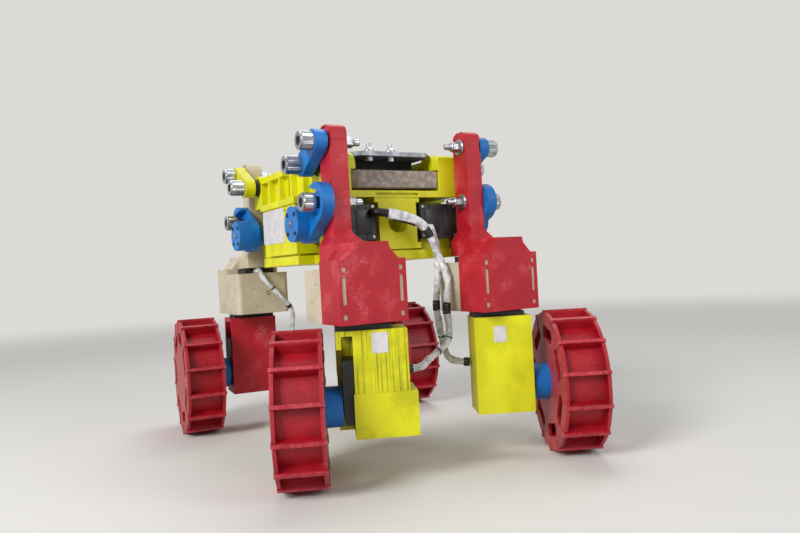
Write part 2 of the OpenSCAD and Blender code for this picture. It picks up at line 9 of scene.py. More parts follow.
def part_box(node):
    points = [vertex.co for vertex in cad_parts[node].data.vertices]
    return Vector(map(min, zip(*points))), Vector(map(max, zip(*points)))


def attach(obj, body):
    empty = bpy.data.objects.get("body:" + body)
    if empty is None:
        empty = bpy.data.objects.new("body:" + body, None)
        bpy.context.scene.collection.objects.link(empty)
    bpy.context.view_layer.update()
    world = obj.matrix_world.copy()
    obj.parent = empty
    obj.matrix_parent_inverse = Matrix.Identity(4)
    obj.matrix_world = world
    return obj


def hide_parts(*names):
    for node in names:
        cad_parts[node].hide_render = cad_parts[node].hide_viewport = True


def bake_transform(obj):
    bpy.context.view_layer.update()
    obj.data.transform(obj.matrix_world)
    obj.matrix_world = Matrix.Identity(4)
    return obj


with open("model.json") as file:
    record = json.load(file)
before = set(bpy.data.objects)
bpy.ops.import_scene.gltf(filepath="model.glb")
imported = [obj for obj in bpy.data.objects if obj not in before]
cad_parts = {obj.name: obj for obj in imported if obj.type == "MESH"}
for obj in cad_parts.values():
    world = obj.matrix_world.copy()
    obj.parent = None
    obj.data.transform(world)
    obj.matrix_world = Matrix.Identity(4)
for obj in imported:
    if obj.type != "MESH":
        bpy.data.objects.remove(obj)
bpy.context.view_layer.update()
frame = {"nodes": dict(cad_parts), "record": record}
bpy.ops.object.select_all(action="DESELECT")

MM = 0.001

# ---- camera ----

FOCAL = 31.89  # mm, on a sensor 36 mm wide
EYE = (-0.3253, -0.6418, 0.1716)  # metres
TURN = 29.69  # degrees clockwise from straight along +Y
TIP = 0.04  # degrees above level
ROLL = -3.05  # degrees


def make_camera():
    """The camera, where the object is looked at from."""
    data = bpy.data.cameras.new("camera")
    data.lens = FOCAL
    data.sensor_width = 36
    data.clip_start = 0.02
    data.clip_end = 60
    camera = bpy.data.objects.new("camera", data)
    bpy.context.scene.collection.objects.link(camera)
    aim = Euler((math.radians(90 + TIP), 0, math.radians(-TURN))).to_matrix().to_4x4()
    camera.matrix_world = Matrix.Translation(EYE) @ aim @ Matrix.Rotation(math.radians(ROLL), 4, "Z")
    bpy.context.scene.camera = camera


make_camera()

# ---- places, in millimetres: x and y from the middle of the chassis, z from the floor ----

DECK_LOW, DECK_HIGH = (Vector(corner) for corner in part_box("deck"))
MIDDLE = (DECK_LOW + DECK_HIGH) / 2


def at(x, y, z):
    """A point in metres, for a place given in millimetres from the chassis's middle and up from the floor."""
    return Vector((MIDDLE.x + x * MM, MIDDLE.y + y * MM, z * MM))


# name: side along X, side along Y, yaw of the wheel in degrees
LEGS = {
    "front_right": (1, -1, 27),
    "rear_right": (-1, -1, 24),
    "rear_left": (-1, 1, 6),
    "front_left": (1, 1, 6),
}
STEER_X, STEER_Y = 67, 142.713  # each leg's steering axis
PIVOT_Y, LIFT_Z, PIVOT_RISE = 81, 213, 51  # the lower arm's pivot, and the upper arm's height over it
PIN_Y, PIN_Z = 108.713, 229  # the lower arm's pin in the upright
ARM_OUT, DISC_OUT = 88, 99  # outer faces of the arms and of the drive discs
DISC_CIRCLE = 11.6  # radius of the circle of screws on a drive disc
BEARING_X = 74.2  # the upper arms' bearings
NUT_X, WASHER_X, TIP_X = 51.2, 59.6, 45  # lock nuts, washers and rounded tips on the pins in the uprights
HEAD_RADIUS = 7.5  # the cap screws' heads
SERVO_END = 93.5  # outer ends of the lift servos
SERVO_SPAN = (23.6, 63.6)  # the lift servos along X
SERVO_SCREW_IN, SERVO_SCREW_Z = 2.6, 13.4  # their screws, in from each side and from the middle
STUD_Y, STUD_GAP = 84, 22  # the studs on the top plate
COVER_IN, COVER_HALF = 48, 29.52  # inner face and half width of a steering cover, from the steering axis
HOUSING_FACE = -20.1  # just proud of the right motor housings' outer faces, across from the steering axis
BOX_SIDE, RAIL_SIDE = -80.1, -66.3  # just proud of the rear faces of the electronics box and the deck's rail


def at_wheel(leg, along, across, z):
    """A place given along a leg's axle, outwards from its steering axis, and across it."""
    sx, sy, yaw = LEGS[leg]
    c, s = math.cos(math.radians(yaw)), math.sin(math.radians(yaw))
    return at(sx * (STEER_X + along * c) + across * s, sy * STEER_Y - sx * along * s + across * c, z)


# ---- materials ----


def srgb(code):
    """Linear colour of an sRGB hex code."""
    parts = [int(code[i : i + 2], 16) / 255 for i in (1, 3, 5)]
    return [c / 12.92 if c <= 0.04045 else ((c + 0.055) / 1.055) ** 2.4 for c in parts] + [1.0]


def add(tree, kind, inputs=None, **settings):
    """Adds a shader node, sets its properties, and gives its inputs a value or a link."""
    made = tree.nodes.new("ShaderNode" + kind)
    for name, value in settings.items():
        setattr(made, name, value)
    for name, value in (inputs or {}).items():
        if isinstance(value, bpy.types.NodeSocket):
            tree.links.new(value, made.inputs[name])
        else:
            made.inputs[name].default_value = value
    return made


def start_material(name):
    """A new material with its shader and object coordinates."""
    made = bpy.data.materials.new(name)
    made.use_nodes = True
    tree = made.node_tree
    shader = tree.nodes["Principled BSDF"]
    place = add(tree, "TexCoord").outputs["Object"]
    return made, tree, shader, place


def band_scale(mm):
    """Wave texture scale whose bands are mm apart."""
    return math.pi / 10 / (mm * MM)


def spot_scale(mm):
    """Noise or Voronoi scale whose spots are about mm across."""
    return 1 / (mm * MM)


def mix(tree, factor, low, high):
    """Colour output of a mix between two colours."""
    made = add(tree, "Mix", data_type="RGBA")
    for index, value in ((0, factor), (6, low), (7, high)):
        if isinstance(value, bpy.types.NodeSocket):
            tree.links.new(value, made.inputs[index])
        else:
            made.inputs[index].default_value = value
    return made.outputs[2]


def ramp(tree, source, low, high, out_low=0.0, out_high=1.0):
    """Value output that climbs smoothly as the source goes from low to high."""
    inputs = {"Value": source, "From Min": low, "From Max": high, "To Min": out_low, "To Max": out_high}
    return add(tree, "MapRange", inputs, interpolation_type="SMOOTHSTEP").outputs["Result"]


def product(tree, one, other):
    """Value output of one times the other."""
    return add(tree, "Math", {0: one, 1: other}, operation="MULTIPLY").outputs[0]


def wave(tree, place, mm, way):
    """Fine, slightly uneven bands mm apart."""
    inputs = {"Vector": place, "Scale": band_scale(mm), "Distortion": 0.5, "Detail": 1.0, "Detail Scale": 0.6}
    return add(tree, "TexWave", inputs, bands_direction=way).outputs["Fac"]


def noise(tree, place, mm, detail, roughness=0.5):
    """Cloudy spots about mm across."""
    inputs = {"Vector": place, "Scale": spot_scale(mm), "Detail": detail, "Roughness": roughness}
    return add(tree, "TexNoise", inputs).outputs["Fac"]


def upright_ribs(tree, place, above):
    """Uneven upright ribs above a height in millimetres, where the housing was printed on its side."""
    drawn = add(tree, "Mapping", {"Vector": place, "Scale": (1, 1, 0.02)}).outputs[0]
    ribs = noise(tree, drawn, 1.5, 4.0)
    high = add(tree, "SeparateXYZ", {0: place}).outputs["Z"]
    step = ramp(tree, high, (above - 0.1) * MM, (above + 0.1) * MM)
    return product(tree, ramp(tree, ribs, 0.5, 0.34), step)


# the wheel's zones, in metres: drum floor and grouser ends from the axle, side walls from the middle plane
DRUM_FLOOR, DRUM_TOP = 0.0525, 0.0545
GROUSER_START, GROUSER_END = 0.0600, 0.0625
WALL_START, WALL_END = 0.0185, 0.0192


def wheel_wear(tree, place, toned, worn, middle, yaw):
    """Sand has scoured the grousers' ends and the rims, and dust lies on the side walls."""
    inputs = {"Vector": place, "Location": middle, "Rotation": (0, 0, yaw)}
    turned = add(tree, "Mapping", inputs, vector_type="TEXTURE").outputs[0]
    across = add(tree, "SeparateXYZ", {0: turned}).outputs["X"]
    out = add(tree, "VectorMath", {0: turned, 1: (0, 1, 1)}, operation="MULTIPLY").outputs[0]
    reach = add(tree, "VectorMath", {0: out}, operation="LENGTH").outputs["Value"]
    aside = add(tree, "Math", {0: across}, operation="ABSOLUTE").outputs[0]
    grains = noise(tree, place, 3.5, 5.0, 0.7)
    scour = product(tree, ramp(tree, reach, GROUSER_START, GROUSER_END), ramp(tree, grains, 0.35, 0.65, 0.05, 0.6))
    dusty = product(tree, ramp(tree, aside, WALL_START, WALL_END), ramp(tree, grains, 0.4, 0.75, 0.05, 0.35))
    floor = product(tree, ramp(tree, reach, DRUM_TOP, DRUM_FLOOR), ramp(tree, grains, 0.5, 0.75, 0.0, 0.25))
    toned = mix(tree, scour, toned, srgb(worn))
    toned = mix(tree, dusty, toned, srgb("#c4938a"))
    return mix(tree, floor, toned, srgb(worn))


def printed(name, colour, worn, shade, layer_mm=1.0, rough=0.45, wear=0.3, lines=0.2, grid=0.0, ribs_above=0.0,
            wheel=None):
    """PLA filament, printed in layers: a satin skin whose fine ridges catch the light, sanded pale in patches."""
    made, tree, shader, place = start_material(name)
    # the real layers are 0.2 mm, too fine to show, so they are drawn coarser
    layers = wave(tree, place, layer_mm, "Z")
    patches = noise(tree, place, 26, 4.0, 0.6)
    specks = noise(tree, place, 1.1, 2.0)
    toned = mix(tree, ramp(tree, layers, 0.35, 0.0, 0.0, lines), srgb(colour), srgb(shade))
    height = layers
    if grid:
        # extruded paths lie side by side across each flat face
        paths = wave(tree, place, layer_mm * 1.15, "X")
        toned = mix(tree, ramp(tree, paths, 0.35, 0.0, 0.0, grid), toned, srgb(shade))
        height = product(tree, height, paths)
    toned = mix(tree, ramp(tree, patches, 0.58, 0.36, 0.0, 0.35), toned, srgb(shade))
    scuffed = product(tree, ramp(tree, patches, 0.5, 0.72), ramp(tree, specks, 0.4, 0.62))
    toned = mix(tree, product(tree, scuffed, wear), toned, srgb(worn))
    if ribs_above:
        rib_relief_and_painted_shade = upright_ribs(tree, place, ribs_above)
        # painted shade: the ribs are darkened towards the shade colour, as rib faces turned from the light
        toned = mix(tree, product(tree, rib_relief_and_painted_shade, 0.7), toned, srgb(shade))
        height = add(tree, "Math", {0: height, 1: product(tree, rib_relief_and_painted_shade, -1.6)}, operation="ADD").outputs[0]
    if wheel:
        toned = wheel_wear(tree, place, toned, worn, *wheel)
    tree.links.new(toned, shader.inputs["Base Color"])
    tree.links.new(ramp(tree, scuffed, 0.0, 1.0, rough, rough + 0.3), shader.inputs["Roughness"])
    shader.inputs["IOR"].default_value = 1.46
    ridges = add(tree, "Bump", {"Strength": 0.35, "Distance": 0.16 * MM, "Height": height})
    rub = {"Strength": 0.25, "Distance": 0.1 * MM, "Height": specks, "Normal": ridges.outputs[0]}
    tree.links.new(add(tree, "Bump", rub).outputs[0], shader.inputs["Normal"])
    return made


def roughen(tree, shader, strength, depth_mm, height):
    """Small relief on the surface."""
    bump = add(tree, "Bump", {"Strength": strength, "Distance": depth_mm * MM, "Height": height})
    tree.links.new(bump.outputs[0], shader.inputs["Normal"])


def moulded(name, colour, rough=0.5):
    """Nylon, injection moulded: dark, slightly grained and dull, with faint rubbed spots."""
    made, tree, shader, place = start_material(name)
    rubbed = noise(tree, place, 14, 3.0)
    base = srgb(colour)
    pale = [c * 1.9 + 0.004 for c in base[:3]] + [1.0]
    tree.links.new(mix(tree, ramp(tree, rubbed, 0.45, 0.75), base, pale), shader.inputs["Base Color"])
    tree.links.new(ramp(tree, rubbed, 0.3, 0.8, rough - 0.1, rough + 0.15), shader.inputs["Roughness"])
    shader.inputs["IOR"].default_value = 1.5
    roughen(tree, shader, 0.25, 0.06, noise(tree, place, 0.7, 2.0))
    return made


def metal(name, colour, rough, brush_mm=0.5, stretch=(1, 1, 1)):
    """Plated steel or rolled aluminium: bright, with fine turned or brushed lines and duller smears."""
    made, tree, shader, place = start_material(name)
    drawn = add(tree, "Mapping", {"Vector": place, "Scale": stretch}).outputs[0]
    smears = noise(tree, place, 9, 3.0)
    base = srgb(colour)
    dull = [c * 0.72 for c in base[:3]] + [1.0]
    tree.links.new(mix(tree, ramp(tree, smears, 0.35, 0.7), dull, base), shader.inputs["Base Color"])
    tree.links.new(ramp(tree, smears, 0.3, 0.7, rough + 0.12, rough - 0.06), shader.inputs["Roughness"])
    shader.inputs["Metallic"].default_value = 1.0
    roughen(tree, shader, 0.2, 0.04, noise(tree, drawn, brush_mm, 3.0))
    return made


def foam_material():
    """Open-cell polyurethane foam: dull grey-brown, with pores about a millimetre across darkened by painted
    shade.
    """
    made, tree, shader, place = start_material("open_cell_foam")
    pores = add(tree, "TexVoronoi", {"Vector": place, "Scale": spot_scale(1.2)}).outputs["Distance"]
    clumps = noise(tree, place, 5, 4.0)
    tone = mix(tree, ramp(tree, clumps, 0.35, 0.7), srgb("#928980"), srgb("#aca196"))
    # painted shade: the hollow of each pore is darkened
    tone = mix(tree, ramp(tree, pores, 0.3, 0.05, 0.0, 0.55), tone, srgb("#423932"))
    # cut cell walls catch the light in places
    bright = product(tree, ramp(tree, pores, 0.5, 0.75), ramp(tree, clumps, 0.5, 0.65))
    tone = mix(tree, product(tree, bright, 0.6), tone, srgb("#d0c5b6"))
    tree.links.new(tone, shader.inputs["Base Color"])
    shader.inputs["Roughness"].default_value = 0.95
    roughen(tree, shader, 0.9, 0.6, pores)
    return made


def wrap_material():
    """White polypropylene wrap on a bundle of wires: glossy, faintly creased, greyed where it is handled."""
    made, tree, shader, place = start_material("white_cable_wrap")
    soil = noise(tree, place, 7, 4.0)
    tone = mix(tree, ramp(tree, soil, 0.42, 0.7), srgb("#dfe2e6"), srgb("#9fa3a8"))
    tree.links.new(tone, shader.inputs["Base Color"])
    shader.inputs["Roughness"].default_value = 0.35
    shader.inputs["IOR"].default_value = 1.49
    roughen(tree, shader, 0.5, 0.4, noise(tree, place, 2, 2.0))
    return made


def paper_material():
    """Coated label paper, blank: pale grey, matt, a little mottled."""
    made, tree, shader, place = start_material("blank_label_paper")
    fibres = noise(tree, place, 9, 5.0)
    tone = mix(tree, ramp(tree, fibres, 0.35, 0.7), srgb("#c2bec0"), srgb("#d2cfd0"))
    tree.links.new(tone, shader.inputs["Base Color"])
    shader.inputs["Roughness"].default_value = 0.6
    roughen(tree, shader, 0.2, 0.05, fibres)
    return made


YELLOW = printed("printed_pla_yellow", "#ddd906", "#e6e873", "#a8ab00", wear=0.12, lines=0.12)
# a shaded copy of the yellow: a touch darker, with a much darker shade colour that paints the shade on its ribs
YELLOW_RIBS_PAINTED_SHADE = printed("printed_pla_yellow_ribs_painted_shade", "#d6d204", "#e6e873", "#6f7100", wear=0.12, lines=0.12,
                        ribs_above=75.2)
RED = printed("printed_pla_red", "#c0182a", "#dc8a90", "#8c0e1c", layer_mm=1.5, wear=0.5, lines=0.5, grid=0.35)
BLUE = printed("printed_pla_blue", "#0270c0", "#3fa3e8", "#064a80", wear=0.3, rough=0.4, lines=0.15)
CREAM = printed("printed_pla_cream", "#c9bda4", "#dcd8cf", "#a79a80", wear=0.3, lines=0.12)
BLACK = moulded("moulded_nylon_black", "#191a1d")
# dark brown that paints the shade inside screw holes and sockets
BORE_PAINTED_SHADE = moulded("shadowed_bore", "#2a2118", 0.9)
TAPE = moulded("vinyl_tape_black", "#101012", 0.35)
STEEL = metal("zinc_plated_steel", "#b9bcc2", 0.26)
ALLOY = metal("rolled_aluminium", "#9da2a8", 0.5, 0.3, (0.05, 1, 1))
FOAM = foam_material()
WRAP = wrap_material()
PAPER = paper_material()
FINISHES = {
    "yellow_print": YELLOW, "red_print": RED, "blue_print": BLUE, "cream_print": CREAM,
    "black_plastic": BLACK, "steel_bolt": STEEL, "aluminium_plate": ALLOY, "grey_foam": FOAM,
    "white_cable": WRAP,
}


def dress(thing, material):
    """Gives every material slot of an object one material."""
    if not thing.data.materials:
        thing.data.materials.append(material)
    for place in thing.material_slots:
        place.material = material


for part in frame["record"]["subparts"]:
    name = part["node"]
    finish = FINISHES[part["material_slot"]]
    if name.startswith("wheel_"):
        leg = name[6:]
        low, high = (Vector(corner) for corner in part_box(name))
        finish = printed("printed_pla_red_" + leg, "#a8071c", "#c9505c", "#5e0310", wear=0.15, lines=0.4,
                         wheel=((low + high) / 2, math.radians(-LEGS[leg][2])))
    elif name == "motor_housing_rear_right":
        finish = YELLOW_RIBS_PAINTED_SHADE
    dress(frame["nodes"][name], finish)


# ---- modelling ----


def only(thing):
    """Makes one object the selected and active one."""
    bpy.ops.object.select_all(action="DESELECT")
    thing.select_set(True)
    bpy.context.view_layer.objects.active = thing


def settle(thing, name, material, body, smooth=40):
    """Names a finished piece, puts its place in its mesh, and gives it its finish and its body."""
    only(thing)
    bpy.ops.object.transform_apply(location=True, rotation=True, scale=True)
    bpy.ops.object.shade_smooth_by_angle(angle=math.radians(smooth))
    thing.name = name
    dress(thing, material)
    if body:
        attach(thing, body)
    return thing


def join(pieces):
    """Joins the pieces into the first one."""
    bpy.ops.object.select_all(action="DESELECT")
    for piece in pieces:
        piece.select_set(True)
    bpy.context.view_layer.objects.active = pieces[0]
    bpy.ops.object.join()
    return pieces[0]


def pick(thing, kind, test):
    """Selects, in edit mode, the faces or edges of the active mesh whose middle passes a test."""
    bpy.ops.mesh.select_all(action="DESELECT")
    bpy.ops.mesh.select_mode(type=kind)
    bpy.ops.object.mode_set(mode="OBJECT")
    mesh = thing.data
    for item in mesh.polygons if kind == "FACE" else mesh.edges:
        ends = [mesh.vertices[i].co for i in item.vertices]
        item.select = test(sum(ends, Vector()) / len(ends), item)
    bpy.ops.object.mode_set(mode="EDIT")


def along_x(side):
    """Turn that points a piece's own Z outwards along X."""
    return (0, math.radians(90 * side), 0)


def along_y(side):
    """Turn that points a piece's own Z outwards along Y."""
    return (math.radians(-90 * side), 0, 0)


def screw(place, turn, radius, height, socket=0.55, sides=24, edge=0.25, deep=0.6):
    """A round head that stands on a face: its rim rounded, its socket let in."""
    bpy.ops.mesh.primitive_cylinder_add(vertices=sides, radius=radius, depth=height)
    thing = bpy.context.object
    bpy.ops.object.mode_set(mode="EDIT")
    pick(thing, "EDGE", lambda middle, _: middle.z > height * 0.49)
    bpy.ops.mesh.bevel(offset=radius * edge, segments=3, affect="EDGES")
    if socket:
        pick(thing, "FACE", lambda middle, _: middle.z > height * 0.49)
        rim = 1 - edge - socket if edge + socket < 1 else 0.1
        bpy.ops.mesh.inset(thickness=radius * rim)
        bpy.ops.mesh.extrude_region_move(TRANSFORM_OT_translate={"value": (0, 0, -height * deep)})
    bpy.ops.object.mode_set(mode="OBJECT")
    thing.rotation_euler = turn
    thing.location = place
    return thing


def block(low, high, edge):
    """A box between two corners with its edges rounded."""
    low, high = Vector(low), Vector(high)
    bpy.ops.mesh.primitive_cube_add(size=1, location=(low + high) / 2)
    thing = bpy.context.object
    thing.scale = high - low
    bpy.ops.object.transform_apply(location=True, rotation=True, scale=True)
    bpy.ops.object.mode_set(mode="EDIT")
    bpy.ops.mesh.select_all(action="SELECT")
    bpy.ops.mesh.bevel(offset=edge, segments=2, affect="EDGES")
    bpy.ops.object.mode_set(mode="OBJECT")
    return thing


# ---- cables ----


def smooth_line(points, steps=4):
    """Points on a smooth line through the given ones."""
    ends = [2 * points[0] - points[1], *points, 2 * points[-1] - points[-2]]
    line = []
    for a, b, c, d in zip(ends, ends[1:], ends[2:], ends[3:]):
        for i in range(steps):
            t = i / steps
            line.append(0.5 * (2 * b + (c - a) * t + (2 * a - 5 * b + 4 * c - d) * t * t
                               + (3 * b - a - 3 * c + d) * t * t * t))
    return line + [points[-1]]


def tube(line, radius, radii=None, sides=3, tilt=0):
    """A closed tube along a line, its radius scaled at each point; with no extra sides it is square."""
    curve = bpy.data.curves.new("tube", "CURVE")
    curve.dimensions = "3D"
    curve.bevel_depth = radius
    curve.bevel_resolution = sides
    curve.use_fill_caps = True
    spline = curve.splines.new("POLY")
    spline.points.add(len(line) - 1)
    for i, place in enumerate(line):
        spline.points[i].co = (*place, 1)
        spline.points[i].radius = radii[i] if radii else 1
        spline.points[i].tilt = math.radians(tilt)
    thing = bpy.data.objects.new("tube", curve)
    bpy.context.scene.collection.objects.link(thing)
    only(thing)
    bpy.ops.object.convert(target="MESH")
    return bpy.context.object


def part_of(line, start, end):
    """The stretch of a line between two lengths along it, in millimetres."""
    walked, kept = 0.0, []
    for a, b in zip(line, line[1:]):
        step = (b - a).length / MM
        for i in range(4):
            if start <= walked + step * i / 4 <= end:
                kept.append(a.lerp(b, i / 4))
        walked += step
    return kept


def winding(line, radius, pitch, phase):
    """A line that winds round another."""
    walked, kept = 0.0, []
    side = Vector((1, 0, 0))
    for i, place in enumerate(line):
        ahead = (line[min(i + 1, len(line) - 1)] - line[max(i - 1, 0)]).normalized()
        side = (side - side.dot(ahead) * ahead).normalized()
        up = ahead.cross(side)
        angle = phase + walked / pitch * 2 * math.pi
        kept.append(place + radius * (math.cos(angle) * side + math.sin(angle) * up))
        if i + 1 < len(line):
            walked += (line[i + 1] - place).length
    return kept


LEFT_ROUTE = [
    (72, 105.1, 176), (72, 101, 176), (71.5, 95.8, 176.5), (70.5, 92.1, 175.2), (68.5, 91.1, 169),
    (61, 90, 159), (52, 89, 149), (43, 89.5, 139.5), (36, 93.5, 130.5), (33.3, 99, 122.5),
    (32, 104, 114.5), (31.5, 108, 106), (32, 113, 96),
]
# route, diameter, a way towards the steered end, tape bands as (start, end)
CABLES = {
    "rear_right": ([
        (-28, -93.5, 221), (-28, -96, 221), (-26, -100, 221), (-19, -104, 220), (-6, -107, 217), (7, -109, 213),
        (17, -110, 206), (23, -111, 195), (27, -113, 182), (30, -118, 169), (31, -122, 156), (28, -124, 143),
        (26, -125, 131), (27, -126, 118), (26, -126, 107), (19, -127, 99), (8, -130, 94), (-4, -138, 91),
        (-14, -147, 89), (-23, -150.5, 88), (-31.5, -147.5, 88),
    ], 6.4, (-27, -13.5, -23), [(56, 66, 1.18), (128, 139, 1.14), (158, 160, 1.1), (176, 178, 1.08)]),
    "front_right": ([
        (31, -93.5, 207), (31, -96, 207), (31.3, -98.5, 205.5), (33, -101, 196), (34, -102, 184),
        (33, -104, 171), (30, -107, 158), (26, -110, 145), (24, -112, 132), (25, -113, 119), (27, -113, 107),
        (30, -112, 96), (35, -111, 87), (42, -114.5, 83), (51.4, -120.5, 82),
    ], 6.4, (18.5, -6.2, -23), [(30, 33, 1.1), (74, 84, 1.12), (106, 108, 1.08)]),
    "rear_left": (
        [(-x, y, z) for x, y, z in LEFT_ROUTE
         + [(34.5, 120, 89), (38.5, 127.5, 86.3), (42.3, 128.1, 86), (45.3, 128.4, 86)]],
        5.0, (-16, 16, -16), [(36, 38, 1.12), (62, 67, 1.14)]),
    "front_left": (
        LEFT_ROUTE + [(33, 121, 89), (34.5, 129.5, 86.6), (36.8, 133.1, 86), (39.8, 133.5, 86), (42.8, 133.2, 86)],
        5.0, (16, 16, -16), [(34, 38, 1.12), (66, 69, 1.14)]),
}


def make_connector(line, radius):
    """The flat-sided white connector below the lift servo, its black lead and the catch under it."""
    stretch = part_of(line, 17, 56)
    taper = [2.0 - 0.5 * k / (len(stretch) - 1) for k in range(len(stretch))]
    sleeve = tube(stretch, radius, taper, 0, 45)
    bpy.ops.object.mode_set(mode="EDIT")
    bpy.ops.mesh.select_all(action="SELECT")
    bpy.ops.mesh.bevel(offset=0.7 * MM, segments=2, affect="EDGES", clamp_overlap=True)
    bpy.ops.object.mode_set(mode="OBJECT")
    settle(sleeve, "connector_sleeve", WRAP, "chassis", 30)
    catch = tube(part_of([p - Vector((0, 0, 4.4 * MM)) for p in line], 22, 44), 1.4 * MM)
    settle(catch, "connector_catch", TAPE, "chassis")
    lead = tube(part_of(line, 0.6, 18), radius * 1.2)
    settle(lead, "connector_lead", TAPE, "chassis")
    return [sleeve, catch, lead]


def make_cable(leg, route, thick, bands):
    """A bundle of wires wrapped in white, its tape bands and its boot, the boot on the steered wheel unit's body.
    """
    body = "steered_" + leg
    line = smooth_line([at(*place) for place in route])
    length = sum((b - a).length for a, b in zip(line, line[1:]))
    radius = thick / 2 * MM
    # the bundle swells a little between its ties
    swell = [1 + 0.05 * math.sin(i * 0.9) + 0.03 * math.sin(i * 2.3) for i in range(len(line))]
    core = tube(line, radius * 0.92, swell)
    fine = part_of(line, 0, length / MM)
    strands = [tube(winding(fine, radius * 0.78, pitch * MM, phase), radius * 0.3, sides=2)
               for pitch, phase in ((38, 0.4), (38, 3.6), (24, 2.0))]
    cable = settle(join([core, *strands]), "cable_" + leg + "_bundle", WRAP, None, 60)
    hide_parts("cable_" + leg)
    on_it = []
    for i, (start, end, grown) in enumerate(bands):
        stretch = part_of(line, start, end)
        grown_radii = [1 + 0.05 * math.sin(k * 1.7) for k in range(len(stretch))]
        grown_radii[0] = grown_radii[-1] = 0.93
        band = tube(stretch, radius * grown, grown_radii)
        on_it.append(settle(band, f"tape_{leg}_{i}", TAPE, "chassis"))
    if leg == "rear_right":
        on_it += make_connector(line, radius)
    end = line[-1]
    ahead = (end - line[-4]).normalized()
    boot = tube([end - ahead * back * MM for back in (6, 4.5, 2, 0.2)], radius * 1.28, [0.8, 1, 1, 0.96])
    on_it.append(settle(boot, "cable_boot_" + leg, TAPE, body))
    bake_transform(cable)


for leg, (route, thick, reach, bands) in CABLES.items():
    make_cable(leg, route, thick, bands)


# ---- foam ----


def make_foam():
    """Two blocks of foam wedged between the deck walls, one at each end."""
    low, high = (Vector(corner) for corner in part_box("foam_pad"))
    long = 30 * MM
    play = 0.6 * MM
    blocks = []
    for y0, outer, seed in ((low.y, low.y, 3), (high.y - long, high.y, 8)):
        middle = ((low.x + high.x) / 2, y0 + long / 2, (low.z + high.z) / 2)
        bpy.ops.mesh.primitive_cube_add(size=1, location=middle)
        thing = bpy.context.object
        thing.scale = (high.x - low.x - play, long - play, high.z - low.z - play)
        bpy.ops.object.transform_apply(location=True, rotation=True, scale=True)
        bpy.ops.object.mode_set(mode="EDIT")
        # one upright corner is cut away where the block was trimmed to fit
        pick(thing, "EDGE", lambda spot, _: spot.x < low.x + 2 * MM and abs(spot.y - outer) < 2 * MM
             and low.z + 2 * MM < spot.z < high.z - 2 * MM)
        bpy.ops.mesh.bevel(offset=8 * MM, segments=1, affect="EDGES")
        bpy.ops.mesh.select_all(action="SELECT")
        bpy.ops.mesh.bevel(offset=0.9 * MM, segments=2, affect="EDGES")
        bpy.ops.mesh.select_all(action="SELECT")
        bpy.ops.mesh.subdivide(number_cuts=5)
        bpy.ops.mesh.vertices_smooth(factor=0.4, repeat=2)
        bpy.ops.transform.vertex_random(offset=0.25 * MM, seed=seed)
        bpy.ops.object.mode_set(mode="OBJECT")
        blocks.append(thing)
    foam = settle(join(blocks), "foam_blocks", FOAM, "chassis", 60)
    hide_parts("foam_pad")


make_foam()


# ---- screws, nuts and rings ----


def make_leg_hardware():
    """Screws on the drive discs, and the knurled heads, lock nuts and bearings of the arms' pins."""
    discs, collars, domes, rings = [], [], [], []
    for sx, sy, _ in LEGS.values():
        out, inward = along_x(sx), along_x(-sx)
        pivot = (sy * PIVOT_Y, LIFT_Z)
        # screws round the rim of the drive disc, and one in its middle
        for k in range(4):
            angle = math.radians(45 + 90 * k)
            y, z = pivot[0] + DISC_CIRCLE * math.cos(angle), pivot[1] + DISC_CIRCLE * math.sin(angle)
            place = at(sx * (DISC_OUT + 0.2), y, z)
            discs.append(screw(place, out, 1.9 * MM, 1.2 * MM))
        domes.append(screw(at(sx * (DISC_OUT + 0.6), *pivot), out, 2.4 * MM, 2 * MM, 0.5))
        upper = at(sx * BEARING_X, sy * PIVOT_Y, LIFT_Z + PIVOT_RISE)
        rings.append(screw(upper, out, 8.6 * MM, 2.6 * MM, 0, 36, 0.1))
        # each cap screw's head stands so far out of the arm and is so long
        for y, z, start, reach in ((PIN_Y, PIN_Z + PIVOT_RISE, 0, 12), (PIN_Y, PIN_Z, 1, 11.4),
                                   (PIVOT_Y, LIFT_Z + PIVOT_RISE, 0, 15)):
            place = at(sx * (ARM_OUT + start + reach * 0.5), sy * y, z)
            collars.append(knurled(place, out, HEAD_RADIUS, reach - 2.4))
        for z in (PIN_Z, PIN_Z + PIVOT_RISE):
            # the lock nut's collar, its washer and the pin's rounded tip
            for x, radius, height, sides, edge in ((NUT_X, 4.6, 2.6, 24, 0.45), (WASHER_X, 7.4, 1.7, 32, 0.12),
                                                   (TIP_X, 2.9, 2.2, 20, 0.35)):
                place = at(sx * x, sy * PIN_Y, z)
                domes.append(screw(place, inward, radius * MM, height * MM, 0, sides, edge))
    # the rim screws take the painted-shade bore colour, so they read as dark holes
    settle(join(discs), "drive_disc_screws", BORE_PAINTED_SHADE, "chassis")
    settle(join(collars), "knurled_collars", STEEL, "chassis", 25)
    settle(join(domes), "lock_nut_collars", STEEL, "chassis")
    settle(join(rings), "arm_bearings", BLACK, "chassis")


def knurled(place, turn, radius, length):
    """A thin ring of straight knurling round a cap screw's head, radius and length in millimetres."""
    ridges = 64
    bpy.ops.mesh.primitive_cylinder_add(vertices=ridges, radius=(radius + 0.45) * MM, depth=length * MM,
                                        end_fill_type="NOTHING")
    thing = bpy.context.object
    bpy.ops.object.mode_set(mode="EDIT")
    pick(thing, "EDGE", lambda middle, edge: abs(middle.z) < 0.1 * MM
         and round(math.atan2(middle.y, middle.x) / (2 * math.pi / ridges)) % 2 == 0)
    bpy.ops.transform.resize(value=(0.955, 0.955, 1), center_override=(0, 0, 0))
    bpy.ops.object.mode_set(mode="OBJECT")
    shell = thing.modifiers.new("wall", "SOLIDIFY")
    shell.thickness = 0.5 * MM
    shell.offset = -1
    bpy.ops.object.modifier_apply(modifier="wall")
    thing.rotation_euler = turn
    thing.location = place
    return thing


make_leg_hardware()


